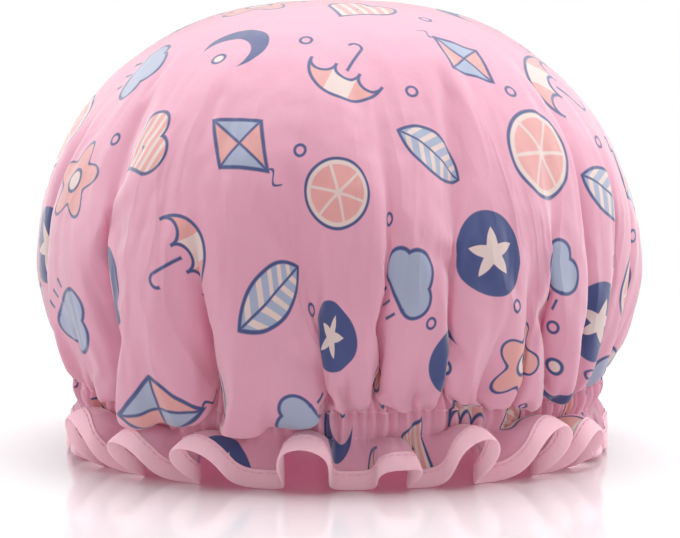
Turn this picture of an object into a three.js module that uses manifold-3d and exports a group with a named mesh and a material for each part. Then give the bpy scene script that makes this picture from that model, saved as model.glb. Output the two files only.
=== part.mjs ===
// A ruffled double-layer shower cap, puffed up and standing on its hem.
// Millimetres, +Z up, the origin on the table under the middle of the head opening.
// The front of the cap faces -Y.
import * as THREE from "three";
import { mergeVertices } from "three/addons/utils/BufferGeometryUtils.js";
import Module from "manifold-3d";

const wasm = await Module();
wasm.setup();

// Dome: a superellipse over the widest ring, and a quarter ellipse that tucks in under it.
// Heights are measured from the middle of the elastic.
const DOME_RADIUS = 114;
const WIDEST_HEIGHT = 48;
const CROWN_HEIGHT = 146;
const CROWN_FULLNESS = 2.2;

// Layers: the printed cover outside, the waterproof film inside.
const COVER_THICKNESS = 0.5;
const LINING_THICKNESS = 0.4;
const LAYER_GAP = 0.4;

// Elastic, stretched to an adult head: 2 pi x 95 mm is 597 mm round.
const ELASTIC_RADIUS = 95;
const ELASTIC_WIDTH = 3;
const ELASTIC_THICKNESS = 0.8;
const TACK_THICKNESS = 0.3;
const TACK_LENGTH = 6;

// Casing: the tunnel between the layers that the elastic runs in, with a row of stitches on each side.
const CASING_EASE = 0.6;
const SEAM_MARGIN = 2;

// Ruffle, from the lower row of stitches to the cloth's edge, and the tape that binds that edge,
// with room between the edge and the tape's fold.
const RUFFLE_LENGTH = 17;
const BINDING_WIDTH = 7;
const BINDING_THICKNESS = 0.6;
const FOLD_ROOM = 1;
const VALLEY_FLARE = THREE.MathUtils.degToRad(-8);
const CREST_FLARE = THREE.MathUtils.degToRad(40);
const FLARE_SHARE = 0.25;
const FLARE_LEAD = 1;

// Threads: how far the hem's lie below the binding's upper edge, and how many times farther off the cloth
// the casing's needle threads lie in the narrow notch under the puffs than they would on a flat face.
const THREAD_RADIUS = 0.25;
const STITCH_INSET = 1.5;
const NOTCH_SHARE = 2.7;

// Folds: sharp grooves between puffs, which deepen from the crown to the gathers.
const FOLDS = 16;
const FOLD_COLUMNS = 3;
const GROOVE_SHARPNESS = 1.5;
const WIDEST_GROOVE = 4.5;
const PUFF_GROOVE = 10;
const CASING_GROOVE = 0.8;
const GROOVE_SHARE = 0.35;
const BUNCHING = 0.14;
const SMOOTH_FRONT = THREE.MathUtils.degToRad(-98);

// The clearance between pieces that touch on the real cap, and how deep the hem is cut flat where it stands.
const CLEARANCE = 0.3;
const STANDING_CUT = 0.5;

// Angles of the rings above the widest one, and below it, how far a sharp corner may push a layer out,
// and how close two vertices are when they are one.
const UPPER_RINGS = [72, 54, 36, 18, 0].map(THREE.MathUtils.degToRad);
const LOWER_RINGS = [40, 68].map(THREE.MathUtils.degToRad);
const LONGEST_MITRE = 1.6;
const MERGE_DISTANCE = 0.003;

const COLUMNS = FOLDS * FOLD_COLUMNS;
const HALF_GAP = LAYER_GAP / 2;

// Places across the layers, measured outwards from the middle of the gap between them.
const COVER_FACE = HALF_GAP + COVER_THICKNESS;
const LINING_FACE = -HALF_GAP - LINING_THICKNESS;
const TAPE_REACH = CLEARANCE + BINDING_THICKNESS;
const THREAD_ROOM = CLEARANCE + THREAD_RADIUS;
const NOTCH_ROOM = NOTCH_SHARE * THREAD_ROOM;

// The casing's tunnel, from the middle of the elastic.
const TACK_REACH = CLEARANCE + TACK_THICKNESS + CASING_EASE;
const TUNNEL_HALF_HEIGHT = ELASTIC_WIDTH / 2 + TACK_REACH;
const TUNNEL_SPREAD = ELASTIC_THICKNESS / 2 + TACK_REACH + CASING_GROOVE / 2 - HALF_GAP;
const ROW_OFFSET = TUNNEL_HALF_HEIGHT + SEAM_MARGIN;

// How far the binding reaches up the ruffle from the cloth's edge.
const BINDING_OVERLAP = BINDING_WIDTH - BINDING_THICKNESS - FOLD_ROOM;
const BINDING_START = 1 - BINDING_OVERLAP / RUFFLE_LENGTH;

// The fold pattern, which repeats every half turn so that the cap is balanced about its axis.
// A share is the material's own place round the cap, from 0 to 1.
const azimuth = (share) => {
  const turn = 2 * Math.PI * share;
  return turn + BUNCHING * Math.sin(2 * (turn - SMOOTH_FRONT));
};
const groove = (share) => ((1 + Math.cos(2 * Math.PI * FOLDS * share)) / 2) ** GROOVE_SHARPNESS;
const varied = (share, amount, lead) => 1 + amount * Math.sin(4 * Math.PI * share + lead);

// A point of the middle surface from its radius, its height and its place round the cap.
const at = (radius, height, share) => {
  const angle = azimuth(share);
  return new THREE.Vector3(radius * Math.cos(angle), radius * Math.sin(angle), height);
};

// A ring of the dome above its widest one, grooved along the profile's normal.
function upperPoint(angle, share) {
  const rise = CROWN_HEIGHT - WIDEST_HEIGHT;
  const across = Math.cos(angle) ** (2 / CROWN_FULLNESS);
  const up = Math.sin(angle) ** (2 / CROWN_FULLNESS);
  const depth = WIDEST_GROOVE * Math.cos(angle) ** 2 * groove(share) * varied(share, GROOVE_SHARE, 0);
  const normal = new THREE.Vector2(Math.cos(angle) / DOME_RADIUS, Math.sin(angle) / rise).normalize();
  return at(DOME_RADIUS * across - depth * normal.x, WIDEST_HEIGHT + rise * up - depth * normal.y, share);
}

// A ring of the puffs that tuck in under the widest ring.
function lowerPoint(angle, share) {
  const tuck = DOME_RADIUS - ELASTIC_RADIUS;
  const drop = WIDEST_HEIGHT - ROW_OFFSET;
  const deepest = THREE.MathUtils.lerp(WIDEST_GROOVE, PUFF_GROOVE, Math.sin(angle));
  const depth = deepest * groove(share) * varied(share, GROOVE_SHARE, 0);
  const normal = new THREE.Vector2(Math.cos(angle) / tuck, -Math.sin(angle) / drop).normalize();
  const radius = ELASTIC_RADIUS + tuck * Math.cos(angle);
  return at(radius - depth * normal.x, WIDEST_HEIGHT - drop * Math.sin(angle) - depth * normal.y, share);
}

// A ring of the casing, at a height.
function casingPoint(height, share) {
  return at(ELASTIC_RADIUS + CASING_GROOVE * (0.5 - groove(share)), height, share);
}

// A point of the ruffle: way is 0 at the lower row of stitches and 1 at the cloth's edge.
function rufflePoint(way, share) {
  const start = casingPoint(-ROW_OFFSET, share);
  const crest = CREST_FLARE * varied(share, FLARE_SHARE, FLARE_LEAD);
  const flare = THREE.MathUtils.lerp(crest, VALLEY_FLARE, groove(share)) * way;
  const length = RUFFLE_LENGTH * way;
  const radius = Math.hypot(start.x, start.y) + length * Math.sin(flare);
  return at(radius, start.z - length * Math.cos(flare), share);
}

// The rings from the crown to the cloth's edge. Each gives its points, and how far the layers part there.
const RINGS = [
  ...UPPER_RINGS.map((angle) => ({ point: (share) => upperPoint(angle, share), spread: 0 })),
  ...LOWER_RINGS.map((angle) => ({ point: (share) => lowerPoint(angle, share), spread: 0 })),
  { point: (share) => casingPoint(ROW_OFFSET, share), spread: 0 },
  { point: (share) => casingPoint(TUNNEL_HALF_HEIGHT, share), spread: TUNNEL_SPREAD },
  { point: (share) => casingPoint(-TUNNEL_HALF_HEIGHT, share), spread: TUNNEL_SPREAD },
  { point: (share) => casingPoint(-ROW_OFFSET, share), spread: 0 },
  { point: (share) => rufflePoint(BINDING_START, share), spread: 0 },
  { point: (share) => rufflePoint(1, share), spread: 0 },
];
const UPPER_ROW_RING = UPPER_RINGS.length + LOWER_RINGS.length;
const LOWER_ROW_RING = UPPER_ROW_RING + 3;
const BINDING_RING = RINGS.length - 2;
const EDGE_RING = RINGS.length - 1;
const CROWN = new THREE.Vector3(0, 0, CROWN_HEIGHT);

// The middle surface at every ring and column. The ring above the first is the crown itself.
const SHARES = Array.from({ length: COLUMNS }, (unused, column) => column / COLUMNS);
const MIDDLE = RINGS.map((ring) => SHARES.map((share) => ring.point(share)));
const middlePoint = (ring, column) => (ring < 0 ? CROWN : MIDDLE[ring][(column + COLUMNS) % COLUMNS]);

// The outward normals of the two facets below a ring and after a column, split from the upper corner.
function facetNormals(ring, column) {
  const corner = middlePoint(ring, column);
  const below = middlePoint(ring + 1, column).clone().sub(corner);
  const across = middlePoint(ring + 1, column + 1).clone().sub(corner);
  const beside = middlePoint(ring, column + 1).clone().sub(corner);
  return [below.cross(across).normalize(), across.clone().cross(beside).normalize()];
}

// The step off the middle surface at a point that keeps every facet round it one millimetre off.
function mitreStep(ring, column) {
  const above = [...facetNormals(ring - 1, column - 1), facetNormals(ring - 1, column)[0]];
  const below = ring < EDGE_RING ? [facetNormals(ring, column - 1)[1], ...facetNormals(ring, column)] : [];
  const facets = [...above, ...below].filter((facet) => facet.length() > 0);
  const normal = facets.reduce((sum, facet) => sum.add(facet), new THREE.Vector3()).normalize();
  const nearest = Math.min(...facets.map((facet) => facet.dot(normal)));
  return normal.divideScalar(Math.max(nearest, 1 / LONGEST_MITRE));
}
const MITRES = RINGS.map((unused, ring) => SHARES.map((share, column) => mitreStep(ring, column)));

// A point off the middle surface: positive places lie outside it.
// The parting of the layers is added on each side.
function layerPoint(ring, column, place) {
  const off = place + Math.sign(place) * RINGS[ring].spread;
  const mitre = MITRES[ring][(column + COLUMNS) % COLUMNS];
  return middlePoint(ring, column).clone().addScaledVector(mitre, off);
}

// A closed body from one section for each column. A looped section closes on itself,
// and an open one runs from one point on the axis to another, where its faces close up.
// Every face is split from its upper corner at a column to its lower corner at the next,
// so that layers which lie on each other have the same facets.
function wrapSections(sections, looped) {
  const size = sections[0].length;
  const steps = looped ? size : size - 1;
  const corners = [];
  for (let i = 0; i < steps; i++) {
    const j = (i + 1) % size;
    const fall = sections.reduce((sum, section) => sum + section[i].z - section[j].z, 0);
    for (let column = 0; column < sections.length; column++) {
      const here = column * size;
      const next = ((column + 1) % sections.length) * size;
      const [a, b, c, d] = [here + i, here + j, next + j, next + i];
      corners.push(...(fall > 0 ? [a, b, c, a, c, d] : [a, b, d, b, c, d]));
    }
  }
  const positions = sections.flat().flatMap((point) => point.toArray());
  const geometry = new THREE.BufferGeometry();
  geometry.setAttribute("position", new THREE.Float32BufferAttribute(positions, 3));
  geometry.setIndex(corners);
  const merged = mergeVertices(geometry, MERGE_DISTANCE);
  const indices = Array.from(merged.index.array);
  const faces = Array.from({ length: indices.length / 3 }, (unused, i) => indices.slice(3 * i, 3 * i + 3));
  merged.setIndex(faces.filter((face) => new Set(face).size === 3).flat());
  return merged;
}

// A layer of cloth between two places, open at the hem and closed over the crown.
function clothLayer(outer, inner) {
  const top = (place) => CROWN.clone().setZ(CROWN_HEIGHT + place);
  const sections = SHARES.map((share, column) => {
    const outside = RINGS.map((unused, ring) => layerPoint(ring, column, outer));
    const inside = RINGS.map((unused, ring) => layerPoint(ring, column, inner)).reverse();
    return [top(outer), ...outside, ...inside, top(inner)];
  });
  return wrapSections(sections, false);
}

// A point on the stretch of ruffle under the binding, so many millimetres below the binding's upper edge.
function hemPoint(below, column, place) {
  const upper = layerPoint(BINDING_RING, column, place);
  const lower = layerPoint(EDGE_RING, column, place);
  return upper.lerp(lower, below / BINDING_OVERLAP);
}

// The tape folded round both layers' edge: a U in section.
function foldedBinding() {
  const outside = COVER_FACE + CLEARANCE;
  const inside = LINING_FACE - CLEARANCE;
  const inner = [0, BINDING_OVERLAP, BINDING_OVERLAP + FOLD_ROOM];
  const outer = [0, BINDING_OVERLAP, BINDING_WIDTH];
  const side = (column, depths, place) => depths.map((below) => hemPoint(below, column, place));
  const sections = SHARES.map((share, column) => [
    ...side(column, outer, COVER_FACE + TAPE_REACH),
    ...side(column, outer, LINING_FACE - TAPE_REACH).reverse(),
    ...side(column, inner, inside),
    ...side(column, inner, outside).reverse(),
  ]);
  return wrapSections(sections, true);
}

// A closed geometry whose shared vertices are merged, as a solid that can be cut.
function toSolid(geometry) {
  return new wasm.Manifold(
    new wasm.Mesh({
      numProp: 3,
      vertProperties: new Float32Array(geometry.attributes.position.array),
      triVerts: new Uint32Array(geometry.index.array),
    }),
  );
}

// A solid as a geometry again.
function toGeometry(solid) {
  const mesh = solid.getMesh();
  const geometry = new THREE.BufferGeometry();
  geometry.setAttribute("position", new THREE.Float32BufferAttribute(mesh.vertProperties, 3));
  geometry.setIndex(new THREE.BufferAttribute(mesh.triVerts, 1));
  return geometry;
}

// Cuts off what lies under a height.
function cutBelow(geometry, height) {
  const width = 4 * DOME_RADIUS;
  const block = new THREE.BoxGeometry(width, width, DOME_RADIUS).translate(0, 0, height - DOME_RADIUS / 2);
  block.deleteAttribute("normal");
  block.deleteAttribute("uv");
  return toGeometry(toSolid(geometry).subtract(toSolid(mergeVertices(block))));
}

// A thread that lies along the cloth, square in section, from its points and the outward directions there.
function threadRing(points, outwards) {
  const sections = points.map((point, i) => {
    const before = points[(i + points.length - 1) % points.length];
    const after = points[(i + 1) % points.length];
    const along = after.clone().sub(before);
    const out = outwards[i].clone().setLength(THREAD_RADIUS);
    const side = new THREE.Vector3().crossVectors(along, out).setLength(THREAD_RADIUS);
    return [out, side, out.clone().negate(), side.clone().negate()].map((step) => step.add(point));
  });
  return wrapSections(sections, true);
}

// A thread along a row of casing stitches, at a place across the layers.
function casingThread(ring, place) {
  const points = SHARES.map((share, column) => layerPoint(ring, column, place));
  return threadRing(points, MITRES[ring]);
}

// A thread along the binding near its upper edge, at a place across the layers.
// Between two columns it bends where it crosses the fold between two facets.
function hemThread(place) {
  const way = STITCH_INSET / BINDING_OVERLAP;
  const points = SHARES.flatMap((unused, column) => [
    hemPoint(STITCH_INSET, column, place),
    layerPoint(BINDING_RING, column, place).lerp(layerPoint(EDGE_RING, column + 1, place), way),
  ]);
  const outwards = SHARES.flatMap((unused, column) => [
    MITRES[BINDING_RING][column],
    MITRES[BINDING_RING][column].clone().lerp(MITRES[EDGE_RING][(column + 1) % COLUMNS], way),
  ]);
  return threadRing(points, outwards);
}

// The elastic: a flat ring, turned so that one of its flat stretches faces the back, where its ends meet.
function elasticBand() {
  const half = new THREE.Vector2(ELASTIC_THICKNESS / 2, ELASTIC_WIDTH / 2);
  const corner = (x, y) => new THREE.Vector2(ELASTIC_RADIUS + x * half.x, y * half.y);
  const profile = [corner(-1, -1), corner(1, -1), corner(1, 1), corner(-1, 1), corner(-1, -1)];
  return new THREE.LatheGeometry(profile, COLUMNS, Math.PI / COLUMNS);
}

// The bar tack that ties the elastic's two ends: a wrap of thread round the band.
function elasticBarTack() {
  const hole = new THREE.Vector2(ELASTIC_THICKNESS, ELASTIC_WIDTH).addScalar(2 * CLEARANCE);
  const wrap = hole.clone().addScalar(2 * TACK_THICKNESS);
  const rectangle = (size) => [
    new THREE.Vector2(-size.x / 2, -size.y / 2),
    new THREE.Vector2(size.x / 2, -size.y / 2),
    new THREE.Vector2(size.x / 2, size.y / 2),
    new THREE.Vector2(-size.x / 2, size.y / 2),
  ];
  const shape = new THREE.Shape(rectangle(wrap));
  shape.holes.push(new THREE.Path(rectangle(hole)));
  const wrapped = new THREE.ExtrudeGeometry(shape, { depth: TACK_LENGTH, bevelEnabled: false });
  return wrapped.translate(0, 0, -TACK_LENGTH / 2);
}

// Finishes.
const printedPolyester = new THREE.MeshStandardMaterial({ color: "#f0b4cb", roughness: 0.75, metalness: 0 });
const evaFilm = new THREE.MeshStandardMaterial({ color: "#f6dfe6", roughness: 0.35, metalness: 0 });
const bindingTape = new THREE.MeshStandardMaterial({ color: "#eeb9ca", roughness: 0.85, metalness: 0 });
const wovenElastic = new THREE.MeshStandardMaterial({ color: "#f3eef0", roughness: 0.8, metalness: 0 });
const sewingThread = new THREE.MeshStandardMaterial({ color: "#e79db8", roughness: 0.6, metalness: 0 });

// The cap stands on the lowest points of its binding, which are cut flat.
const uncutBinding = foldedBinding();
uncutBinding.computeBoundingBox();
const TABLE_HEIGHT = uncutBinding.boundingBox.min.z + STANDING_CUT;

const cap = new THREE.Group();
const sewn = new THREE.Group();
sewn.position.z = -TABLE_HEIGHT;
cap.add(sewn);

function addPiece(name, geometry, material, parent = sewn) {
  const mesh = new THREE.Mesh(geometry, material);
  mesh.name = name;
  parent.add(mesh);
  return mesh;
}

addPiece("printed_cover", clothLayer(COVER_FACE, HALF_GAP), printedPolyester);
addPiece("waterproof_lining", clothLayer(-HALF_GAP, LINING_FACE), evaFilm);
addPiece("hem_binding", cutBelow(uncutBinding, TABLE_HEIGHT), bindingTape);

addPiece("casing_upper_needle_thread", casingThread(UPPER_ROW_RING, COVER_FACE + NOTCH_ROOM), sewingThread);
addPiece("casing_upper_bobbin_thread", casingThread(UPPER_ROW_RING, LINING_FACE - THREAD_ROOM), sewingThread);
addPiece("casing_lower_needle_thread", casingThread(LOWER_ROW_RING, COVER_FACE + NOTCH_ROOM), sewingThread);
addPiece("casing_lower_bobbin_thread", casingThread(LOWER_ROW_RING, LINING_FACE - THREAD_ROOM), sewingThread);
addPiece("hem_needle_thread", hemThread(COVER_FACE + TAPE_REACH + THREAD_ROOM), sewingThread);
addPiece("hem_bobbin_thread", hemThread(LINING_FACE - TAPE_REACH - THREAD_ROOM), sewingThread);

// The elastic and its tack turn as one inside the casing.
const elastic = new THREE.Group();
sewn.add(elastic);
const band = addPiece("elastic_band", elasticBand(), wovenElastic, elastic);
band.rotation.x = Math.PI / 2;
const tack = addPiece("elastic_bar_tack", elasticBarTack(), sewingThread, elastic);
tack.position.y = ELASTIC_RADIUS * Math.cos(Math.PI / COLUMNS);
tack.setRotationFromMatrix(
  new THREE.Matrix4().makeBasis(
    new THREE.Vector3(0, 1, 0),
    new THREE.Vector3(0, 0, 1),
    new THREE.Vector3(1, 0, 0),
  ),
);

export default cap;
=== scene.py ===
"""The looks of a puffed, ruffled shower cap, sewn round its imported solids."""

import math

import bpy
import numpy as np
from bpy.props import FloatProperty, FloatVectorProperty, IntProperty, PointerProperty
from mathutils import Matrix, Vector


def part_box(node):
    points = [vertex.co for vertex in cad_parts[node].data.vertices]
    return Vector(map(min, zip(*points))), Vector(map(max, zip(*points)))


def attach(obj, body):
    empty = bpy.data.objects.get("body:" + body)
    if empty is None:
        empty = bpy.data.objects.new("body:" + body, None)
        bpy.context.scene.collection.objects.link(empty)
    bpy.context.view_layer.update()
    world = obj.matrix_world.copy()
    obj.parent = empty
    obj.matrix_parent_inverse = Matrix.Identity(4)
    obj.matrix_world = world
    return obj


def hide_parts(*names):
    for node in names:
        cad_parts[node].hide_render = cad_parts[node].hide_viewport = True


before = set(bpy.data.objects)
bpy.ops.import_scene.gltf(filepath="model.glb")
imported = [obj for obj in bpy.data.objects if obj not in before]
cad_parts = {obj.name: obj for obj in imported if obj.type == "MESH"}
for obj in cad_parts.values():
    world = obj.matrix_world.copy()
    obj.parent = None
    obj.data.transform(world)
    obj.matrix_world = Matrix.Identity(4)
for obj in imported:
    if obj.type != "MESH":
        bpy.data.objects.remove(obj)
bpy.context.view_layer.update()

bl_info = {
    "name": "Shower cap",
    "version": (1, 0, 0),
    "blender": (4, 5, 0),
    "location": "View3D > Sidebar > Shower Cap",
    "description": "Sews a gathered, printed shower cap round its packed solids",
    "category": "Object",
}

PHOTO_WIDTH = 680
LOW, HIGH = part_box("elastic_band")
ELASTIC_HEIGHT = (LOW.z + HIGH.z) / 2

# The folds of the cover, from the left side round the front to the right and on round the back.
# Each has its place in degrees from the front, its depth against the deepest, how far from the
# crown it starts in metres, how far it leans sideways for each unit of its depth, and how low the
# puff after it hangs, from 0 for drawn in to 1 for hanging over the casing.
FOLDS = (
    (-92, 0.90, 0.080, 0.5, 0.0),
    (-82, 0.40, 0.140, 0.3, 0.05),
    (-72, 0.95, 0.085, 0.7, 0.15),
    (-61, 0.32, 0.165, 0.3, 0.6),
    (-50, 1.00, 0.105, 0.8, 1.0),
    (-39, 0.24, 0.190, 0.3, 0.85),
    (-27, 0.95, 0.124, 0.5, 0.95),
    (-14, 0.22, 0.190, -0.2, 0.75),
    (-4, 0.80, 0.168, 0.3, 0.35),
    (3, 0.34, 0.186, 0.2, 0.3),
    (9, 0.95, 0.100, -0.4, 0.3),
    (16, 0.34, 0.180, 0.2, 0.25),
    (23, 0.60, 0.112, -0.3, 0.35),
    (31, 0.36, 0.160, -0.4, 0.5),
    (38, 0.40, 0.150, -0.5, 0.6),
    (47, 0.75, 0.120, -0.7, 0.55),
    (56, 1.00, 0.040, -0.9, 0.35),
    (64, 0.80, 0.090, -0.8, 0.25),
    (75, 0.90, 0.055, -0.7, 0.15),
    (88, 0.80, 0.090, -0.4, 0.15),
    (98, 0.40, 0.170, 0.2, 0.3),
    (108, 0.95, 0.090, 0.5, 0.5),
    (127, 1.00, 0.080, -0.5, 0.6),
    (140, 0.40, 0.170, 0.3, 0.8),
    (153, 0.85, 0.100, 0.5, 0.5),
    (167, 0.35, 0.185, -0.3, 0.75),
    (182, 0.95, 0.090, -0.4, 0.8),
    (196, 0.40, 0.165, 0.3, 0.55),
    (209, 0.95, 0.094, 0.6, 0.85),
    (221, 0.40, 0.160, -0.3, 0.7),
    (233, 0.90, 0.084, -0.5, 0.5),
    (251, 1.00, 0.090, 0.4, 0.2),
)
# The ruffle's crests: the place of each in degrees from the front, how far it flares out from straight
# down in degrees, how far its edge leans to the right in metres, and how narrow it is, from 1 for a
# plain wave.
CRESTS = (
    (-71, 27, -0.004, 1.1),
    (-55, 94, -0.014, 1.2),
    (-39, 76, -0.011, 1.1),
    (-24, 80, -0.009, 1.0),
    (-5, 88, -0.002, 1.1),
    (11, 56, 0.003, 1.2),
    (23, 94, 0.008, 1.0),
    (40, 98, 0.012, 1.0),
    (54, 80, 0.010, 1.2),
    (69, 27, 0.004, 1.0),
    (84, 25, -0.003, 1.2),
    (99, 42, 0.005, 1.0),
    (116, 78, 0.008, 1.1),
    (131, 52, -0.004, 1.2),
    (149, 86, 0.008, 1.0),
    (168, 68, 0.009, 1.1),
    (190, 90, -0.008, 1.1),
    (209, 66, 0.005, 1.2),
    (227, 80, -0.009, 1.0),
    (244, 58, -0.004, 1.1),
    (259, 46, -0.006, 1.2),
    (274, 25, 0.003, 1.0),
)


def linear(code):
    """The linear colour of an sRGB hex code."""
    parts = [int(code[i:i + 2], 16) / 255 for i in (1, 3, 5)]
    return tuple(p / 12.92 if p <= 0.04045 else ((p + 0.055) / 1.055) ** 2.4 for p in parts)


def metres(name, description, default):
    """A length that the scene keeps."""
    return FloatProperty(name=name, description=description, default=default, unit="LENGTH")


def dye(name, description, code):
    """A colour that the scene keeps."""
    return FloatVectorProperty(name=name, description=description, subtype="COLOR", default=linear(code))


class CapSizes(bpy.types.PropertyGroup):
    """Real sizes of the cap."""

    dome_radius: metres("Dome radius", "Radius of the widest ring", 0.1125)
    widest_height: metres("Widest height", "Widest ring over the elastic", 0.048)
    crown_height: metres("Crown height", "Crown over the elastic", 0.146)
    crown_fullness: FloatProperty(name="Crown fullness", description="Its superellipse's power", default=2.32)
    elastic_radius: metres("Elastic radius", "Stretched round a head", 0.095)
    elastic_width: metres("Elastic width", "Height of the flat band", 0.003)
    elastic_thickness: metres("Elastic thickness", "Thickness of the flat band", 0.0008)
    row_offset: metres("Row offset", "From the elastic to a casing seam", 0.0047)
    ruffle_length: metres("Ruffle length", "From the lower seam to the cloth's edge", 0.017)
    binding_width: metres("Binding width", "Finished width of the folded tape", 0.007)
    fold_depth: metres("Fold depth", "Deepest fold, just over the gathers", 0.014)
    gather_height: metres("Gather height", "Usual height of a small gather", 0.0049)
    columns: IntProperty(name="Columns", description="Points round the cloth", default=512)
    stitch_length: metres("Stitch length", "From one stitch to the next", 0.0028)
    thread_radius: metres("Thread radius", "Half the sewing thread's thickness", 0.00025)


class CapColours(bpy.types.PropertyGroup):
    """Colours of the cap's cloths and of its print."""

    ground: dye("Ground", "Pink of the cover", "#f2bbd1")
    navy: dye("Navy", "Outlines and solid motifs", "#4d5a94")
    pale_blue: dye("Pale blue", "Filled motifs", "#b7c7de")
    peach: dye("Peach", "Filled motifs", "#f0b9b4")
    cream: dye("Cream", "Stripes and hearts of motifs", "#f1e7df")
    binding: dye("Binding", "Tape round the hem", "#f9c6d4")
    film: dye("Film", "Waterproof lining", "#f3dde5")
    elastic: dye("Elastic", "Braided band", "#f3eef0")
    thread: dye("Thread", "Sewing thread", "#efb6c9")


# Shapes

# From the elastic's middle to the layer on either side of it, and from layer to layer in the ruffle.
CLOTH_GAP = 0.0004
# How far a puff's lowest point hangs outside the elastic, and below its middle.
PUFF_OUT, PUFF_DROP = 0.0100, 0.0055
# The power of the superellipse that a drawn fold follows below the widest ring.
TUCK_FULLNESS = 1.35


def round_the_axis(angle, radius, height):
    """Points at angles from the front, so far from the cap's axis and so high."""
    return np.stack([radius * np.sin(angle), -radius * np.cos(angle), height + 0 * radius], axis=-1)


def smooth(low, high, value):
    """0 below low, 1 above high, and a smooth rise between them."""
    way = np.clip((value - low) / (high - low), 0, 1)
    return way * way * (3 - 2 * way)


def unit(vectors):
    """Vectors of length 1 in the same directions."""
    return vectors / np.linalg.norm(vectors, axis=-1, keepdims=True)


def section_by_length(radius, height):
    """A section's distance along the cloth, radius and height."""
    along = np.concatenate([[0], np.cumsum(np.hypot(np.diff(radius), np.diff(height)))])
    return along, radius, height


def crown_section(size):
    """The dome's section from the crown to the widest ring."""
    power = 2 / size.crown_fullness
    turn = np.linspace(math.pi / 2, 0, 400)
    radius = size.dome_radius * np.clip(np.cos(turn), 0, 1) ** power
    rise = size.crown_height - size.widest_height
    return section_by_length(radius, size.widest_height + rise * np.sin(turn) ** power)


def drawn_section(size):
    """From the widest ring to the upper row where a fold draws the cloth in."""
    turn = np.linspace(0, math.pi / 2, 200)
    tuck = size.dome_radius - size.elastic_radius
    drop = size.widest_height - size.row_offset
    power = 2 / TUCK_FULLNESS
    radius = size.elastic_radius + tuck * np.clip(np.cos(turn), 0, 1) ** power
    return section_by_length(radius, size.widest_height - drop * np.sin(turn) ** power)


def hanging_section(size):
    """From the widest ring to the upper row where a puff hangs over the casing and turns up again."""
    turn = np.linspace(0, math.pi / 2, 200)
    low_radius = size.elastic_radius + PUFF_OUT
    low_height = -PUFF_DROP
    tuck = size.dome_radius - low_radius
    drop = size.widest_height - low_height
    lift = size.row_offset - low_height
    radius = np.concatenate([
        low_radius + tuck * np.cos(turn),
        low_radius - (low_radius - size.elastic_radius) * np.sin(turn[1:]),
    ])
    height = np.concatenate([
        size.widest_height - drop * np.sin(turn),
        size.row_offset - lift * np.cos(turn[1:]),
    ])
    return section_by_length(radius, height)


def ring_lengths(grid):
    """Length of each ring of a grid of points."""
    return np.linalg.norm(np.roll(grid, -1, axis=1) - grid, axis=2).sum(axis=1)


def irregular_waves(rng, columns, usual):
    """Where each column lies in its wave, from 0 to 1, and which wave that is. The widths are uneven."""
    count = columns // usual
    widths = np.full(count, usual)
    change = rng.integers(0, 2, count // 2)
    widths[0:2 * len(change):2] += change
    widths[1:2 * len(change):2] -= change
    wave = np.repeat(np.arange(count), widths)
    first = np.concatenate([[0], np.cumsum(widths)[:-1]])
    return (np.arange(columns) - first[wave]) / widths[wave], wave


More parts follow.
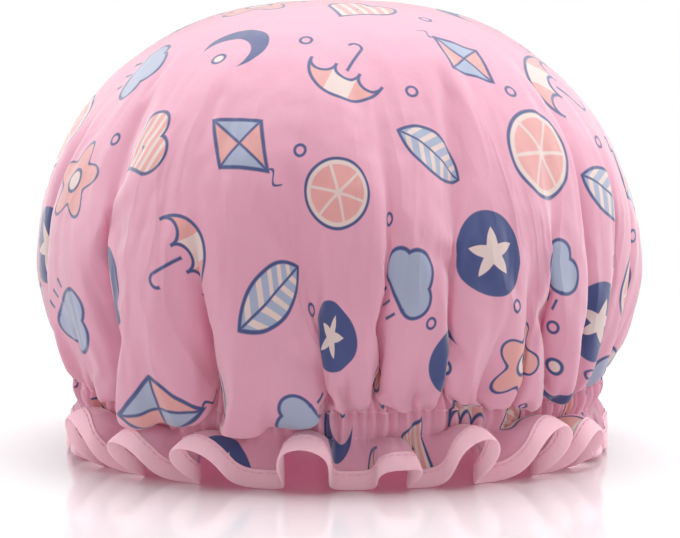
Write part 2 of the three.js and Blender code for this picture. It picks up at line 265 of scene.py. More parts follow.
class CoverPattern:
    """The cover as it is gathered: rings of points from the crown to the cloth's edge."""

    # Points in each puff while it is shaped, and the cloth from the widest ring to the upper row.
    DENSE = 64
    PUFF_LENGTH = 0.060
    # The share of a puff's cloth that lies on each of its two sides, and over it.
    SIDE, OVER = 0.3, 0.4
    # How full a puff is against its width, and how high the soft unevenness of the cloth is.
    BULGE, UNEVEN = 0.075, 0.0006
    # How far the cloth bulges over the elastic, and how much lower the gathers are below it.
    CASING_BULGE, LOWER_GATHERS = 0.0015, 0.5
    # How far the waves of the hem are drawn together at their necks.
    NECK = 0.0026

    def __init__(self, size):
        rng = np.random.default_rng(11)
        self.crown_part = crown_section(size)
        self.drawn_part = drawn_section(size)
        self.hanging_part = hanging_section(size)
        self.widest = self.crown_part[0][-1]
        self.upper_row = self.widest + self.PUFF_LENGTH
        self.lower_row = self.upper_row + 2 * size.row_offset
        self.edge = self.lower_row + size.ruffle_length
        self.columns = size.columns
        # The rings lie closer together towards the gathers.
        self.rings = np.concatenate([
            np.arange(0.007, 0.09, 0.007),
            np.arange(0.091, 0.15, 0.005),
            np.arange(0.151, 0.2, 0.0041),
            np.linspace(0.2025, self.upper_row, 12)[:-1],
            np.linspace(self.upper_row, self.lower_row, 7)[:-1],
            np.linspace(self.lower_row, self.edge, 8),
        ])
        self.upper_ring = int(np.searchsorted(self.rings, self.upper_row - 1e-6))
        self.lower_ring = int(np.searchsorted(self.rings, self.lower_row - 1e-6))
        self.grid = self.folded_rings(size, rng)
        self.gather(size, rng)
        self.flare_ruffle(size)
        self.grid[..., 2] += ELASTIC_HEIGHT
        self.crown = np.array([0, 0, size.crown_height + ELASTIC_HEIGHT])

    def section(self, s, hang):
        """Radius and height at s along the cloth, where it hangs by 0 to 1."""
        way = np.clip((s - self.widest) / self.PUFF_LENGTH, 0, 1)
        places = []
        for axis in (1, 2):
            drawn = np.interp(way * self.drawn_part[0][-1], self.drawn_part[0], self.drawn_part[axis])
            hung = np.interp(way * self.hanging_part[0][-1], self.hanging_part[0], self.hanging_part[axis])
            crown = np.interp(s, self.crown_part[0], self.crown_part[axis])
            places.append(np.where(s < self.widest, crown, drawn + (hung - drawn) * hang))
        return places

    def folded_rings(self, size, rng):
        """The dome with its folds. Every column keeps its own share of the cloth in every ring."""
        folds = np.array(FOLDS)
        count = len(folds)
        places = np.radians(folds[:, 0])
        gaps = (np.roll(places, -1) - places) % (2 * math.pi)
        depths = folds[:, 1] * size.fold_depth
        cloth = gaps * size.dome_radius + depths + np.roll(depths, -1)
        self.shares = np.concatenate([[0], np.cumsum(cloth)]) / cloth.sum()
        self.places = np.append(places, places[0] + 2 * math.pi)

        # The dome's outward direction, from its section half a millimetre up and down the cloth.
        s = self.rings[:, None]
        r = np.maximum(self.section(s, 0.5)[0], 0.004)
        before, after = self.section(s - 0.0005, 0.3), self.section(s + 0.0005, 0.3)
        fall_r, fall_z = after[0] - before[0], after[1] - before[1]
        fall = np.hypot(fall_r, fall_z) + 1e-9
        normal_r, normal_z = -fall_z / fall, fall_r / fall

        # A fold's line starts where it lies on the flat cut, and comes to its own place at the puffs.
        settled = smooth(0.08, 0.165, s)
        flat_places = places[0] + 2 * math.pi * self.shares[:-1]
        wander = np.radians(1.4) * np.sin(s / 0.026 + rng.uniform(0, 6, count)) * smooth(0.08, 0.14, s)
        line = flat_places + (places - flat_places) * settled + wander
        line = np.concatenate([line, line[:, :1] + 2 * math.pi], axis=1)
        gap = np.diff(line, axis=1)
        # The folds deepen towards the gathers. The cloth rolls over a lip into each of them.
        stops = [0.06, 0.1, 0.14, 0.17, 0.2, 0.218]
        deep = np.interp(s, stops, [0.05, 0.18, 0.4, 0.62, 0.88, 1.0]) * size.fold_depth
        depth = deep * folds[:, 1] * smooth(folds[:, 2], folds[:, 2] + 0.05, s)
        depth = np.concatenate([depth, depth[:, :1]], axis=1)
        narrowest = np.minimum(gap, np.roll(gap, 1, axis=1)) * r
        lip = np.minimum(np.interp(s, [0.06, 0.17], [0.009, 0.005]), 0.3 * narrowest)
        lip = np.concatenate([lip, lip[:, :1]], axis=1)
        lean = np.append(folds[:, 3], folds[0, 3])
        slot = np.interp(s, [0.08, 0.16], [1.8, 3.0])

        # A point's place in its puff: up the near fold's side, over the puff, down the far fold's side.
        puff = np.repeat(np.arange(count), self.DENSE)
        part = np.tile(np.arange(self.DENSE) / self.DENSE, count)
        near = np.clip(part / self.SIDE, 0, 1)
        far = np.clip((1 - part) / self.SIDE, 0, 1)
        over = np.clip((part - self.SIDE) / self.OVER, 0, 1)
        near_in = depth[:, puff] * (1 - smooth(0, 1, near))
        far_in = depth[:, puff + 1] * (1 - smooth(0, 1, far))
        bulge = self.BULGE * gap[:, puff] * r * smooth(0.11, 0.19, s) * np.sin(math.pi * over) ** 1.3
        inward = near_in + far_in - bulge + 0.4 * bulge.max(axis=1, keepdims=True)
        start = line[:, puff] + (lip[:, puff] * near ** slot + lean[puff] * near_in) / r
        stop = line[:, puff + 1] - (lip[:, puff + 1] * far ** slot - lean[puff + 1] * far_in) / r
        angle = start + (stop - start) * over
        soft = sum(
            np.sin(turns * angle + rng.uniform(0, 6)) * np.sin(s / wide + rng.uniform(0, 6))
            for turns, wide in ((3, 0.031), (5, 0.023), (8, 0.017), (13, 0.014))
        )
        inward = inward + self.UNEVEN * soft * smooth(0.03, 0.1, s)

        # A deep fold draws the cloth up between two puffs. A shallow one lies inside one puff.
        droop = folds[:, 4]
        between = np.append(droop + np.roll(droop, 1), droop[0] + droop[-1]) / 2
        level = droop[puff] + (between[puff] - droop[puff]) * (1 - smooth(0, 1, near))
        level = level + (between[puff + 1] - droop[puff]) * (1 - smooth(0, 1, far))
        notch = np.clip(np.append(folds[:, 1], folds[0, 1]) * 1.6 - 0.6, 0, 1)
        near_notch = notch[puff] * (1 - smooth(0, 0.8, near))
        far_notch = notch[puff + 1] * (1 - smooth(0, 0.8, far))
        self.hang = np.clip(level * (1 - near_notch - far_notch), 0, None)
        r, z = self.section(s + 0 * angle, self.hang)
        out = r - inward * normal_r
        dense = round_the_axis(angle, out, z - inward * normal_z)

        # Back to columns that each have an even share of the cloth in their puff.
        share = np.arange(self.columns) / self.columns
        home = np.searchsorted(self.shares, share, side="right") - 1
        way = (share - self.shares[home]) / (self.shares[home + 1] - self.shares[home])
        self.hang = np.interp(home + way, np.arange(len(puff)) / self.DENSE, self.hang)
        closed = np.concatenate([dense, dense[:, :1]], axis=1)
        run = np.cumsum(np.linalg.norm(np.diff(closed, axis=1), axis=2), axis=1)
        run = np.concatenate([np.zeros((len(run), 1)), run], axis=1)
        grid = np.zeros((len(self.rings), self.columns, 3))
        for ring in range(len(self.rings)):
            first, last = run[ring, home * self.DENSE], run[ring, (home + 1) * self.DENSE]
            target = first + (last - first) * way
            for axis in range(3):
                grid[ring, :, axis] = np.interp(target, run[ring], closed[ring, :, axis])
        return grid

    def gather(self, size, rng):
        """Draws the cloth in along the elastic: small gathers, which stand outwards only."""
        share = np.arange(self.columns) / self.columns
        self.even = np.interp(share, self.shares, self.places)
        way, wave = irregular_waves(rng, self.columns, 4)
        tall = rng.uniform(0.5, 1.25, wave.max() + 1)[wave]
        self.ripple = tall * np.sin(math.pi * way) ** 0.8
        self.fade = rng.uniform(0.85, 1.7, wave.max() + 1)[wave] ** 2
        s = self.rings[:, None]
        r, z = self.section(s + 0 * self.even, self.hang)
        inside = np.clip((s - self.upper_row) / (2 * size.row_offset), 0, 1)
        drawn = size.elastic_radius + CLOTH_GAP + self.CASING_BULGE * np.sin(math.pi * inside)
        casing = s > self.upper_row - 1e-6
        r = np.where(casing, drawn, r)
        z = np.where(casing, size.row_offset * (1 - 2 * inside), z)
        rise = size.gather_height * (1 - self.LOWER_GATHERS * inside) * self.ripple
        r = r + rise * smooth(self.upper_row - 0.024, self.upper_row, s)
        drawn_in = round_the_axis(self.even, r, z)
        self.outward = np.stack([np.sin(self.even), -np.cos(self.even), 0 * self.even], axis=1)

        # Each gather runs up into the puff over it, some further than others.
        runs_up = rng.uniform(0.15, 1, wave.max() + 1)[wave] ** 2 * 0.06 + 0.012
        reached = smooth(self.upper_row - runs_up, self.upper_row - 0.006, s)
        creep = 0.75 * size.gather_height * self.ripple * reached
        creased = self.grid + self.outward * creep[..., None]
        blend = smooth(self.upper_row - 0.015, self.upper_row - 0.001, s)[..., None]
        self.grid = creased + (drawn_in - creased) * blend

    def flare_ruffle(self, size):
        """The ruffle under the lower row: waves whose crests arch up and out and hang over at the hem."""
        crests = np.array(CRESTS, float)
        wrapped = np.concatenate([crests[-2:] - [360, 0, 0, 0], crests, crests[:2] + [360, 0, 0, 0]])
        places = np.radians(wrapped[:, 0])
        phase = np.interp(self.even, places, 2 * math.pi * np.arange(len(places)))
        crest = np.radians(np.interp(self.even, places, wrapped[:, 1]))
        lean = np.interp(self.even, places, wrapped[:, 2])
        high = (0.5 + 0.5 * np.cos(phase)) ** np.interp(self.even, places, wrapped[:, 3])
        # The valleys flare a little at the front and the back, and less at the sides.
        valley = np.radians(2 + 11 * np.cos(self.even) ** 2)
        reach = valley + (crest - valley) * high
        # The cloth flares out more at the seam and less at the hem, each by its bend.
        curl = 0.76 + 0.12 * np.sin(5 * self.even + 1)
        bend = np.clip(curl * reach, np.radians(3), np.radians(62))
        for ring in range(self.lower_ring + 1, len(self.rings)):
            way = (self.rings[ring] - self.lower_row) / size.ruffle_length
            first, now = reach + bend, reach + bend - 2 * bend * way
            rise = self.LOWER_GATHERS * size.gather_height * self.ripple * (1 - way) ** self.fade
            r = size.elastic_radius + CLOTH_GAP + rise
            r = r + size.ruffle_length * (np.cos(now) - np.cos(first)) / (2 * bend)
            z = -size.row_offset - size.ruffle_length * (np.sin(first) - np.sin(now)) / (2 * bend)
            slide = (self.NECK * np.sin(2 * phase) + lean * high) * way
            self.grid[ring] = round_the_axis(self.even + slide / size.elastic_radius, r, z)


def column_step(along):
    """How many columns apart a ring's points are: fewer points close to the crown."""
    return 16 if along < 0.02 else 8 if along < 0.045 else 4 if along < 0.09 else 2 if along < 0.15 else 1


def smooth_mesh(name, verts, faces):
    """A mesh with smooth shading."""
    mesh = bpy.data.meshes.new(name)
    mesh.from_pydata(verts, [], faces)
    mesh.polygons.foreach_set("use_smooth", np.ones(len(mesh.polygons), bool))
    return mesh


def sheet_mesh(name, rings, grid, crown):
    """A mesh of rings round a crown. Its UV maps are the flat cut, in metres and fitted to a square."""
    columns = grid.shape[1]
    verts = [tuple(crown)]
    flat = [(0.0, 0.0)]
    index = -np.ones(grid.shape[:2], int)
    for ring, along in enumerate(rings):
        for column in range(0, columns, column_step(along)):
            index[ring, column] = len(verts)
            verts.append(tuple(grid[ring, column]))
            turn = 2 * math.pi * column / columns
            flat.append((along * math.cos(turn), along * math.sin(turn)))
    first = column_step(rings[0])
    faces = [(0, index[0, c], index[0, (c + first) % columns]) for c in range(0, columns, first)]
    for ring in range(len(rings) - 1):
        wide, fine = column_step(rings[ring]), column_step(rings[ring + 1])
        for column in range(0, columns, wide):
            beside = (column + wide) % columns
            a, b = index[ring, column], index[ring, beside]
            c, d = index[ring + 1, column], index[ring + 1, beside]
            if wide == fine:
                faces.append((a, c, d, b))
            else:
                e = index[ring + 1, column + fine]
                faces.extend([(a, c, e), (a, e, b), (b, e, d)])
    mesh = smooth_mesh(name, verts, faces)
    corner = np.zeros(len(mesh.loops), np.int32)
    mesh.loops.foreach_get("vertex_index", corner)
    cut = np.array(flat, np.float32)[corner]
    for label, places in (("flat_cut", cut), ("OFBake", 0.5 + 0.98 * cut / (2 * rings[-1]))):
        mesh.uv_layers.new(name=label).data.foreach_set("uv", places.ravel())
    mesh.uv_layers.active_index = 0
    return mesh, index


def loop_mesh(name, sections):
    """A closed tube from an array of looped sections: section, point, coordinate."""
    count, size = sections.shape[:2]
    here = np.arange(count)[:, None] * size
    after = (here + size) % (count * size)
    point = np.arange(size)[None, :]
    beside = (point + 1) % size
    faces = np.stack([here + point, after + point, after + beside, here + beside], axis=2).reshape(-1, 4)
    return smooth_mesh(name, sections.reshape(-1, 3).tolist(), faces.tolist())


def grid_normals(grid):
    """Outward unit normals of rings of points that run from the crown to the hem."""
    round_it = np.roll(grid, -1, axis=1) - np.roll(grid, 1, axis=1)
    down = np.gradient(grid, axis=0)
    return unit(np.cross(down, round_it))


def new_piece(mesh, body, nodes, material, subdivide=True):
    """Links a piece, dresses it, hangs it on its body and hides the solids it stands for."""
    piece = bpy.data.objects.new(mesh.name, mesh)
    bpy.context.scene.collection.objects.link(piece)
    if material:
        mesh.materials.append(material)
    if subdivide:
        finer = piece.modifiers.new("Smooth cloth", "SUBSURF")
        finer.levels = 1
        finer.render_levels = 1
    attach(piece, body)
    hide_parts(*nodes)
    return piece


# What a later operator needs of the pieces that are sewn already.
SEWN = {}

# The cloth is worked out at ten times its size, which suits the solver better.
SETTLING_SCALE = 10.0
SETTLING_FRAMES = 16
# How far a point may move as the cloth settles, and how low over the table it may come.
FURTHEST_MOVE, LOWEST_CLOTH = 0.016, 0.0016
CLOTH = {
    "quality": 8,
    "mass": 0.15,
    "tension_stiffness": 20,
    "compression_stiffness": 20,
    "shear_stiffness": 10,
    "bending_stiffness": 1.5,
    "tension_damping": 10,
    "compression_damping": 10,
    "shear_damping": 10,
    "bending_damping": 2,
    "air_damping": 4,
    "vertex_group_mass": "held",
    "pin_stiffness": 1,
    "use_pressure": True,
    "uniform_pressure_force": 4,
    "vertex_group_pressure": "puffed",
}


def read_points(mesh):
    """The points of a mesh."""
    flat = np.zeros(len(mesh.vertices) * 3, np.float32)
    mesh.vertices.foreach_get("co", flat)
    return flat.reshape(-1, 3)


def cut_to_size(pattern, grid, along, angle):
    """The cover's points in a smooth shape without folds, which has the size that the cloth was cut to."""
    # Each ring is a little longer than its folds take up. Over the crown it is taut.
    ease = 1 + np.interp(pattern.rings, [0.175, 0.21], [0, 0.04])
    loose = smooth(0.11, 0.17, pattern.rings)
    taut = np.hypot(grid[..., 0], grid[..., 1]).mean(axis=1)
    cut_radius = np.append(0, taut + (ring_lengths(grid) * ease / (2 * math.pi) - taut) * loose)
    down = np.linalg.norm(np.diff(grid, axis=0), axis=2).mean(axis=1)
    first = np.linalg.norm(grid[0] - pattern.crown, axis=1).mean()
    down = np.concatenate([[0, first], first + np.cumsum(down)])
    fine = np.linspace(0, down[-1], 500)
    slope = np.clip(np.gradient(np.interp(fine, down, cut_radius), fine), -0.995, 0.995)
    radius = np.concatenate([[0], np.cumsum(slope[:-1] * np.diff(fine))])
    fall = np.concatenate([[0], np.cumsum(np.sqrt(1 - slope[:-1] ** 2) * np.diff(fine))])
    reach = np.interp(along, np.append(0, pattern.rings), down)
    cut_r, cut_z = np.interp(reach, fine, radius), -np.interp(reach, fine, fall)
    return np.stack([cut_r * np.cos(angle), cut_r * np.sin(angle), cut_z], axis=1)


def settle_cloth(pattern, grid, index, mesh):
    """Lets the cover settle as cloth, held along its casing, puffed up inside and drawn down by weight."""
    scene = bpy.context.scene
    used = index >= 0
    order = index[used]
    turns = 2 * math.pi * np.arange(pattern.columns) / pattern.columns
    along, angle = np.zeros((2, len(mesh.vertices)))
    along[order] = np.broadcast_to(pattern.rings[:, None], index.shape)[used]
    angle[order] = np.broadcast_to(turns, index.shape)[used]
    start = read_points(mesh)
    rest = cut_to_size(pattern, grid, along, angle)

    trial = bpy.data.objects.new("settling_cloth", mesh.copy())
    scene.collection.objects.link(trial)
    trial.data.vertices.foreach_set("co", (start * SETTLING_SCALE).ravel())
    trial.shape_key_add(name="Basis")
    cut = trial.shape_key_add(name="Cut")
    cut.data.foreach_set("co", (rest * SETTLING_SCALE).astype(np.float32).ravel())
    # How firmly each point is held, and how much the air inside puffs it up.
    stops = [0, 0.05, 0.1, 0.15, pattern.upper_row - 0.02, pattern.upper_row - 0.003]
    held = np.interp(along, stops, [1, 0.6, 0.1, 0.02, 0.02, 0.4])
    held[along > pattern.upper_row - 1e-5] = 1
    puffed = np.interp(along, [0.17, 0.21, pattern.upper_row], [1, 0.3, 0])
    for name, weights in (("held", held), ("puffed", puffed)):
        group = trial.vertex_groups.new(name=name)
        for level in np.unique(weights.round(2)):
            group.add(np.flatnonzero(weights.round(2) == level).tolist(), float(level), "REPLACE")
    cloth = trial.modifiers.new("Cloth", "CLOTH")
    for name, value in CLOTH.items():
        setattr(cloth.settings, name, value)
    cloth.settings.rest_shape_key = cut
    cloth.settings.effector_weights.gravity = 0.5
    cloth.collision_settings.use_collision = False
    cloth.collision_settings.use_self_collision = True
    cloth.collision_settings.self_distance_min = 0.006
    cloth.point_cache.frame_start = 1
    cloth.point_cache.frame_end = SETTLING_FRAMES
    for number in range(1, SETTLING_FRAMES + 1):
        scene.frame_set(number)
    graph = bpy.context.evaluated_depsgraph_get()
    settled = read_points(trial.evaluated_get(graph).data) / SETTLING_SCALE
    bpy.data.objects.remove(trial)
    scene.frame_set(1)

    move = settled - start
    far = np.linalg.norm(move, axis=1, keepdims=True)
    settled = start + move * np.minimum(1, FURTHEST_MOVE / np.maximum(far, 1e-9))
    settled[:, 2] = np.maximum(settled[:, 2], LOWEST_CLOTH)
    out = grid.copy()
    out[used] = settled[order]
    out = iron_creases(pattern, out)
    settled[order] = out[used]
    return settled, out


def iron_creases(pattern, grid):
    """Takes out creases finer than the cloth would hold, over the taut part of the dome."""
    amount = (1 - smooth(0.16, 0.2, pattern.rings))[:, None, None]
    full = np.array([column_step(along) for along in pattern.rings])[:, None, None] == 1
    beside = (np.roll(grid, 1, axis=1) + np.roll(grid, -1, axis=1)) / 2
    return grid + np.where(full, 0.5 * amount * (beside - grid), 0)


# Materials

def add_node(tree, kind, feeds=(), out=0, **settings):
    """Adds one node with its settings, sets or links its inputs and returns one of its outputs."""
    made = tree.nodes.new(kind)
    for name, value in settings.items():
        setattr(made, name, value)
    for key, value in feeds.items() if isinstance(feeds, dict) else enumerate(feeds):
        if isinstance(value, bpy.types.NodeSocket):
            tree.links.new(value, made.inputs[key])
        else:
            made.inputs[key].default_value = value
    return made.outputs[out] if made.outputs else None


def new_material(name):
    """An empty node material and its tree."""
    material = bpy.data.materials.new(name)
    material.use_nodes = True
    material.node_tree.nodes.clear()
    return material, material.node_tree


def opaque(colour):
    """A colour with its alpha."""
    return tuple(colour) + (1.0,)


def work_out(tree, formula):
    """The output for a formula of nested tuples, such as ("ADD", a, b). A ! after its name clamps it."""
    if not isinstance(formula, tuple):
        return formula
    name, *terms = formula
    feeds = [work_out(tree, term) for term in terms]
    clamped = name.endswith("!")
    return add_node(tree, "ShaderNodeMath", feeds, operation=name.rstrip("!"), use_clamp=clamped)


def mask(field):
    """1 inside a shape and 0 outside it, from the distance in millimetres. Its edge is half of one soft."""
    return ("MULTIPLY_ADD!", field, -2.0, 0.5)


def slab(value, half):
    """The distance from a straight shape, which lies to either side of where a value is 0."""
    return ("SUBTRACT", ("ABSOLUTE", value), half)


def line_mask(field, half):
    """A drawn line of a width along a shape's edge."""
    return mask(slab(field, half))


def both(first, *others):
    """Where all the masks are."""
    return ("MULTIPLY", first, both(*others)) if others else first


def either(first, *others):
    """Where any of the masks is."""
    return ("MAXIMUM", first, either(*others)) if others else first


def length_of(x, y):
    """Distance from the middle."""
    return ("SQRT", ("ADD", ("MULTIPLY", x, x), ("MULTIPLY", y, y)))


def disc(x, y, radius):
    """The distance from a round shape."""
    return ("SUBTRACT", length_of(x, y), radius)


def print_motifs(x, y, reach, turn):
    """The print's motifs, in millimetres round their middles: masks of peach, pale blue, cream and navy."""
    wide = ("ABSOLUTE", x)
    pen, fine_pen = 0.65, 0.45

    petal = ("SUBTRACT", reach, ("MULTIPLY_ADD", ("COSINE", ("MULTIPLY", turn, 5.0)), 3.2, 12.2))
    eye = ("SUBTRACT", reach, 4.2)
    flower = (mask(petal), 0.0, mask(eye), either(line_mask(petal, pen), line_mask(eye, pen)))

    blade = disc(("ADD", wide, 13.5), y, 22.0)
    vein = ("FRACT", ("DIVIDE", ("ADD", y, ("MULTIPLY", wide, 0.6)), 6.0))
    veins = both(mask(blade), ("LESS_THAN", vein, 0.42))
    rib = both(line_mask(x, fine_pen), mask(blade))
    leaf = (0.0, mask(blade), veins, either(line_mask(blade, pen), rib))

    plate = disc(("MULTIPLY", x, 1.2), y, 16.0)
    point = ("ABSOLUTE", ("SUBTRACT", ("FRACT", ("MULTIPLY_ADD", turn, 5 / (2 * math.pi), 3.25)), 0.5))
    star = ("SUBTRACT", reach, ("MULTIPLY_ADD", ("POWER", ("MULTIPLY", point, 2.0), 1.5), 5.4, 3.8))
    badge = (0.0, 0.0, mask(star), both(mask(plate), ("SUBTRACT", 1.0, mask(star))))

    inner = length_of(("SUBTRACT", x, 6.5), y)
    moon = ("MAXIMUM", ("SUBTRACT", reach, 14.5), ("SUBTRACT", 12.2, inner))
    bead = disc(("SUBTRACT", x, 8.5), y, 2.8)
    crescent = (0.0, 0.0, mask(bead), either(mask(moon), line_mask(bead, pen)))

    rind = ("SUBTRACT", reach, 14.5)
    pulp = ("SUBTRACT", reach, 12.0)
    rays = ("MULTIPLY", reach, ("ABSOLUTE", ("SINE", ("MULTIPLY", turn, 3.0))))
    rim = both(mask(rind), ("SUBTRACT", 1.0, mask(pulp)))
    pith = either(rim, mask(("SUBTRACT", ("DIVIDE", rays, 3.0), 0.6)))
    slice_of_fruit = (mask(rind), 0.0, both(pith, mask(rind)), line_mask(rind, pen))

    low = ("SUBTRACT", y, 1.0)
    scallop = ("SUBTRACT", x, ("MULTIPLY", 10.33, ("ROUND", ("DIVIDE", x, 10.33))))
    canopy = ("MAXIMUM", disc(x, low, 15.5), ("SUBTRACT", 0.0, low))
    canopy = ("MAXIMUM", canopy, ("SUBTRACT", 5.17, length_of(scallop, low)))
    shaft = ("MAXIMUM", ("SUBTRACT", wide, 0.6), slab(("ADD", low, 6.0), 7.0))
    hook = slab(disc(("SUBTRACT", x, 2.6), ("ADD", low, 13.0), 2.6), 0.6)
    hook = ("MAXIMUM", hook, ("ADD", low, 13.0))
    panel = both(mask(canopy), ("LESS_THAN", wide, 5.2))
    umbrella = (mask(canopy), 0.0, panel, either(line_mask(canopy, pen), mask(shaft), mask(hook)))

    lobe = disc(("SUBTRACT", wide, 5.6), ("SUBTRACT", y, 3.6), 7.4)
    side = ("SUBTRACT", ("SUBTRACT", ("MULTIPLY", wide, 0.74), ("MULTIPLY", y, 0.67)), 9.05)
    core = ("MINIMUM", lobe, ("MAXIMUM", side, ("ADD", y, 1.0)))
    band = ("LESS_THAN", ("FRACT", ("DIVIDE", ("ADD", x, y), 6.0)), 0.45)
    heart = (mask(core), 0.0, both(mask(core), band), line_mask(core, pen))

    puff = ("MINIMUM", disc(("ADD", x, 7.0), ("ADD", y, 1.0), 6.0), disc(x, ("SUBTRACT", y, 3.0), 8.0))
    puff = ("MINIMUM", puff, disc(("SUBTRACT", x, 7.5), ("ADD", y, 0.5), 6.3))
    foot = ("MAXIMUM", ("SUBTRACT", wide, 7.0), slab(("ADD", y, 4.0), 3.0))
    puff = ("MINIMUM", puff, foot)
    drop = slab(("SUBTRACT", x, ("MULTIPLY", 6.0, ("ROUND", ("DIVIDE", x, 6.0)))), 0.6)
    drop = ("MAXIMUM", drop, slab(("ADD", y, 12.0), 2.2))
    drop = ("MAXIMUM", drop, ("SUBTRACT", wide, 8.0))
    cloud = (0.0, mask(puff), 0.0, either(line_mask(puff, pen), mask(drop)))

    tall = ("SUBTRACT", y, 3.5)
    sail = ("ADD", ("MULTIPLY", wide, 16.0), ("MULTIPLY", ("ABSOLUTE", tall), 11.0))
    sail = ("DIVIDE", ("SUBTRACT", sail, 160.0), 19.4)
    quarter = both(mask(sail), ("GREATER_THAN", ("MULTIPLY", x, tall), 0.0))
    tail = slab(("SUBTRACT", x, ("MULTIPLY", 1.6, ("SINE", ("MULTIPLY", y, 0.9)))), 0.5)
    tail = ("MAXIMUM", tail, slab(("ADD", y, 14.0), 4.0))
    spars = both(mask(sail), either(line_mask(x, fine_pen), line_mask(tall, fine_pen)))
    kite = (mask(sail), quarter, 0.0, either(line_mask(sail, pen), spars, mask(tail)))

    return flower, badge, leaf, umbrella, crescent, cloud, slice_of_fruit, kite, heart


def printed_colour(tree, colours):
    """The print on its ground: a scatter of motifs in staggered rows on the flat cut."""
    # Each motif has a cell of its own, in millimetres, and strays from its middle.
    cell, stray = 46.0, 6.0
    cut = add_node(tree, "ShaderNodeUVMap", uv_map="flat_cut")
    turned = add_node(tree, "ShaderNodeVectorRotate", {"Vector": cut, "Angle": 0.5}, rotation_type="Z_AXIS")
    flat = add_node(tree, "ShaderNodeVectorMath", {0: turned, "Scale": 1000 / cell}, operation="SCALE")
    along = add_node(tree, "ShaderNodeSeparateXYZ", [flat])
    across = along.node.outputs[1]
    row = work_out(tree, ("FLOOR", across))
    along = work_out(tree, ("MULTIPLY_ADD", ("FLOORED_MODULO", row, 2.0), 0.5, along))
    column = work_out(tree, ("FLOOR", along))
    home = add_node(tree, "ShaderNodeCombineXYZ", [column, row])
    chance = add_node(tree, "ShaderNodeTexWhiteNoise", {"Vector": home}, out=1, noise_dimensions="2D")
    first = add_node(tree, "ShaderNodeSeparateXYZ", [chance])
    second, third = first.node.outputs[1], first.node.outputs[2]
    enlarged = work_out(tree, ("MULTIPLY_ADD", chance.node.outputs[0], 0.3, 0.86))
    sides = [
        work_out(tree, ("MULTIPLY_ADD", ("SUBTRACT", ("FRACT", place), 0.5), cell,
                        ("MULTIPLY_ADD", luck, stray, -stray / 2)))
        for place, luck in ((along, first), (across, second))
    ]
    middle = add_node(tree, "ShaderNodeCombineXYZ", sides)
    spin = work_out(tree, ("MULTIPLY", third, 2 * math.pi))
    spun = add_node(tree, "ShaderNodeVectorRotate", {"Vector": middle, "Angle": spin}, rotation_type="Z_AXIS")
    drawn = add_node(tree, "ShaderNodeVectorMath",
                     {0: spun, "Scale": work_out(tree, ("DIVIDE", 1.0, enlarged))}, operation="SCALE")
    x = add_node(tree, "ShaderNodeSeparateXYZ", [drawn])
    y = x.node.outputs[1]
    reach = work_out(tree, length_of(x, y))
    turn = work_out(tree, ("ARCTAN2", y, x))
    motifs = print_motifs(x, y, reach, turn)
    kind = work_out(tree, ("FLOORED_MODULO", ("MULTIPLY_ADD", row, 4.0, column), float(len(motifs))))
    inks = [0.0, 0.0, 0.0, 0.0]
    for number, motif in enumerate(motifs):
        chosen = work_out(tree, ("COMPARE", kind, float(number), 0.5))
        for ink, shape in enumerate(motif):
            if shape != 0.0:
                inks[ink] = work_out(tree, ("MULTIPLY_ADD!", chosen, shape, inks[ink]))
    # Small rings lie between some of the cells.
    border = ("SUBTRACT", along, ("ROUND", along))
    seed = add_node(tree, "ShaderNodeCombineXYZ", [work_out(tree, ("ROUND", along)), row, 7.0])
    luck = add_node(tree, "ShaderNodeTexWhiteNoise", {"Vector": seed}, noise_dimensions="3D")
    lift = ("ADD", ("SUBTRACT", ("FRACT", across), 0.5), ("MULTIPLY_ADD", luck, 0.5, -0.25))
    dot = disc(("MULTIPLY", border, cell), ("MULTIPLY", lift, cell), 2.1)
    ring = both(("GREATER_THAN", luck, 0.45), line_mask(dot, 0.55))
    inks[3] = work_out(tree, either(inks[3], ring))
    colour = opaque(colours.ground)
    for ink, shade in zip(inks, (colours.peach, colours.pale_blue, colours.cream, colours.navy)):
        feeds = {0: ink, 6: colour, 7: opaque(shade)}
        colour = add_node(tree, "ShaderNodeMix", feeds, out=2, data_type="RGBA")
    return colour


# From one band of a wave texture to the next, in metres, where its scale is 1.
WAVE_PITCH = 0.314


